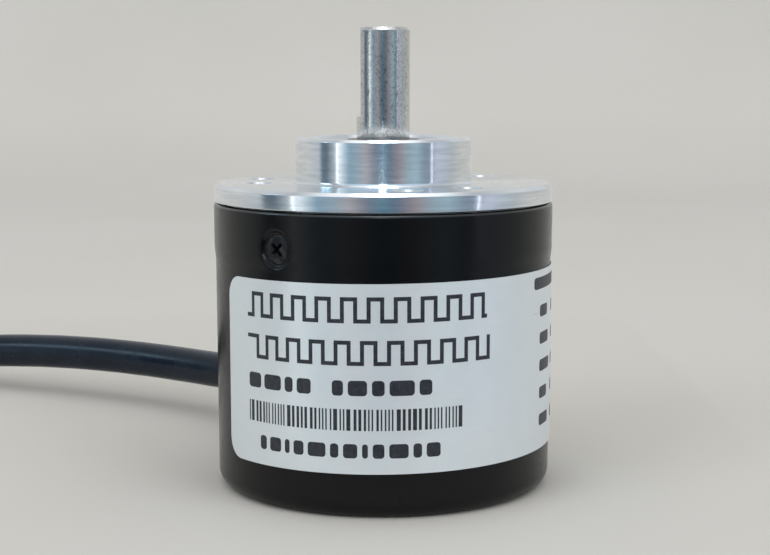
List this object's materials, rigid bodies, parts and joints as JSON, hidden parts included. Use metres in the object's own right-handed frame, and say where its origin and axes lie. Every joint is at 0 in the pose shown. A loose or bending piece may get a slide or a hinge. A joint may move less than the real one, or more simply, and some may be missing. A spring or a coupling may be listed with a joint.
{
  "type": "rotary encoder",
  "caption": "Optical rotary encoder with a round flanged body, solid D-cut shaft on ball bearings and a side cable; turns shaft rotation into pulses.",
  "frame": {"origin": "centre of the rear cover's flat closed end, on the shaft axis; the encoder stands on this face", "axes": "+Z along the shaft axis towards the shaft's free end; -Y is the side with the rating label's printed front; the cable leaves at 119 degrees from +X towards +Y"},
  "size_m": [0.1118, 0.0892, 0.0512],
  "materials": {
    "turned_aluminium": "fine turned, bright",
    "can_aluminium": "drawn can",
    "black_paint": "satin black paint",
    "black_screws": "black zinc plate",
    "silver_label_film": "satin silver film",
    "black_cable_sheath": "satin PVC",
    "black_rubber": "moulded rubber",
    "natural_nylon": "moulded",
    "wire_red": "satin PVC",
    "wire_black": "satin PVC",
    "wire_green": "satin PVC",
    "wire_white": "satin PVC",
    "tinned_copper": "tinned strands",
    "green_board": "solder mask on glass epoxy",
    "brass": "turned",
    "black_moulding": "moulded",
    "clear_epoxy": "clear epoxy",
    "mask_glass": "chromed glass",
    "chip_epoxy": "moulded epoxy",
    "bearing_steel": "ground",
    "polished_balls": "polished",
    "cage_nylon": "moulded",
    "spring_steel": "phosphated",
    "ground_steel": "centreless ground",
    "etched_steel": "photo-etched"
  },
  "bodies": {
    "housing": {"flange_housing": "turned_aluminium", "rear_cover": "black_paint", "cover_screw_1": "black_screws", "cover_screw_2": "black_screws", "cover_screw_3": "black_screws", "rating_label": "silver_label_film", "cable_jacket": "black_cable_sheath", "cable_grommet": "black_rubber", "cable_tie": "natural_nylon", "wire_red": "wire_red", "wire_black": "wire_black", "wire_green": "wire_green", "wire_white": "wire_white", "drain_wire": "tinned_copper", "wire_header": "natural_nylon", "wire_plug": "natural_nylon", "encoder_board": "green_board", "board_post_1": "brass", "board_post_2": "brass", "board_post_3": "brass", "board_screw_1": "black_screws", "board_screw_2": "black_screws", "board_screw_3": "black_screws", "led_holder": "black_moulding", "led_holder_screw": "black_screws", "infrared_led": "clear_epoxy", "photo_detector": "chip_epoxy", "phase_mask": "mask_glass", "comparator_chip": "chip_epoxy", "voltage_regulator": "chip_epoxy", "smoothing_capacitor": "can_aluminium", "front_bearing_outer_ring": "bearing_steel", "rear_bearing_outer_ring": "bearing_steel", "front_bearing_shield": "bearing_steel", "rear_bearing_shield": "bearing_steel", "preload_wave_washer": "spring_steel"},
    "rotor": {"shaft": "ground_steel", "retaining_ring": "spring_steel", "front_bearing_inner_ring": "bearing_steel", "rear_bearing_inner_ring": "bearing_steel", "disc_hub": "brass", "hub_grub_screw": "black_screws", "code_disc": "etched_steel"},
    "front_cage": {"front_ball_cage": "cage_nylon", "front_ball_1": "polished_balls", "front_ball_2": "polished_balls", "front_ball_3": "polished_balls", "front_ball_4": "polished_balls", "front_ball_5": "polished_balls", "front_ball_6": "polished_balls", "front_ball_7": "polished_balls"},
    "rear_cage": {"rear_ball_cage": "cage_nylon", "rear_ball_1": "polished_balls", "rear_ball_2": "polished_balls", "rear_ball_3": "polished_balls", "rear_ball_4": "polished_balls", "rear_ball_5": "polished_balls", "rear_ball_6": "polished_balls", "rear_ball_7": "polished_balls"}
  },
  "joints": [
    {"name": "shaft_spin", "type": "hinge", "parent": "housing", "child": "rotor", "pos_m": [0, 0, 0.0356], "axis": [0, 0, 1], "continuous": true},
    {"name": "front_cage_spin", "type": "hinge", "parent": "housing", "child": "front_cage", "pos_m": [0, 0, 0.0356], "axis": [0, 0, 1], "continuous": true},
    {"name": "rear_cage_spin", "type": "hinge", "parent": "housing", "child": "rear_cage", "pos_m": [0, 0, 0.0259], "axis": [0, 0, 1], "continuous": true}
  ],
  "couplings": [
    {"joint": "front_cage_spin", "follows": "shaft_spin", "ratio": 0.3867},
    {"joint": "rear_cage_spin", "follows": "shaft_spin", "ratio": 0.3867}
  ]
}
